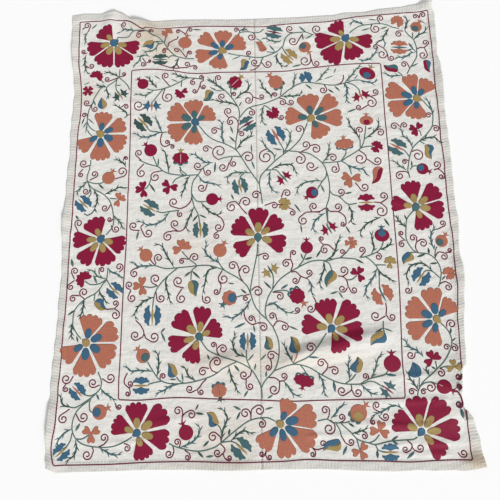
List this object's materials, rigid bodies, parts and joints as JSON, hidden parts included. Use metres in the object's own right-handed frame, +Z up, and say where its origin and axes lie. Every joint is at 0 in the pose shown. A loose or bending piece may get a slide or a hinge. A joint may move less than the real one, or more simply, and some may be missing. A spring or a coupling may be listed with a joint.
{
  "type": "suzani embroidered textile",
  "caption": "Off-white cotton cloth of two sewn widths, laid out with soft folds and embroidered all over with rosettes, vines and scrolls inside a border.",
  "frame": {"origin": "middle of the cloth's outline, on the surface that it lies on", "axes": "+Z up out of the embroidered face, +Y towards the top edge along the centre seam, +X across the widths"},
  "size_m": [1.432, 1.6997, 0.0189],
  "materials": {
    "ground_cotton": "matte plain weave, slightly puckered",
    "thread_crimson": "stranded embroidery thread, soft sheen",
    "thread_orange": "stranded embroidery thread, soft sheen",
    "thread_mustard": "stranded embroidery thread, soft sheen",
    "thread_blue": "stranded embroidery thread, soft sheen",
    "thread_green": "stranded embroidery thread, soft sheen",
    "thread_plum": "stranded embroidery thread, soft sheen",
    "thread_white": "sewing cotton, matte"
  },
  "bodies": {
    "root": {"panel_left": "ground_cotton", "panel_right": "ground_cotton"}
  },
  "joints": []
}
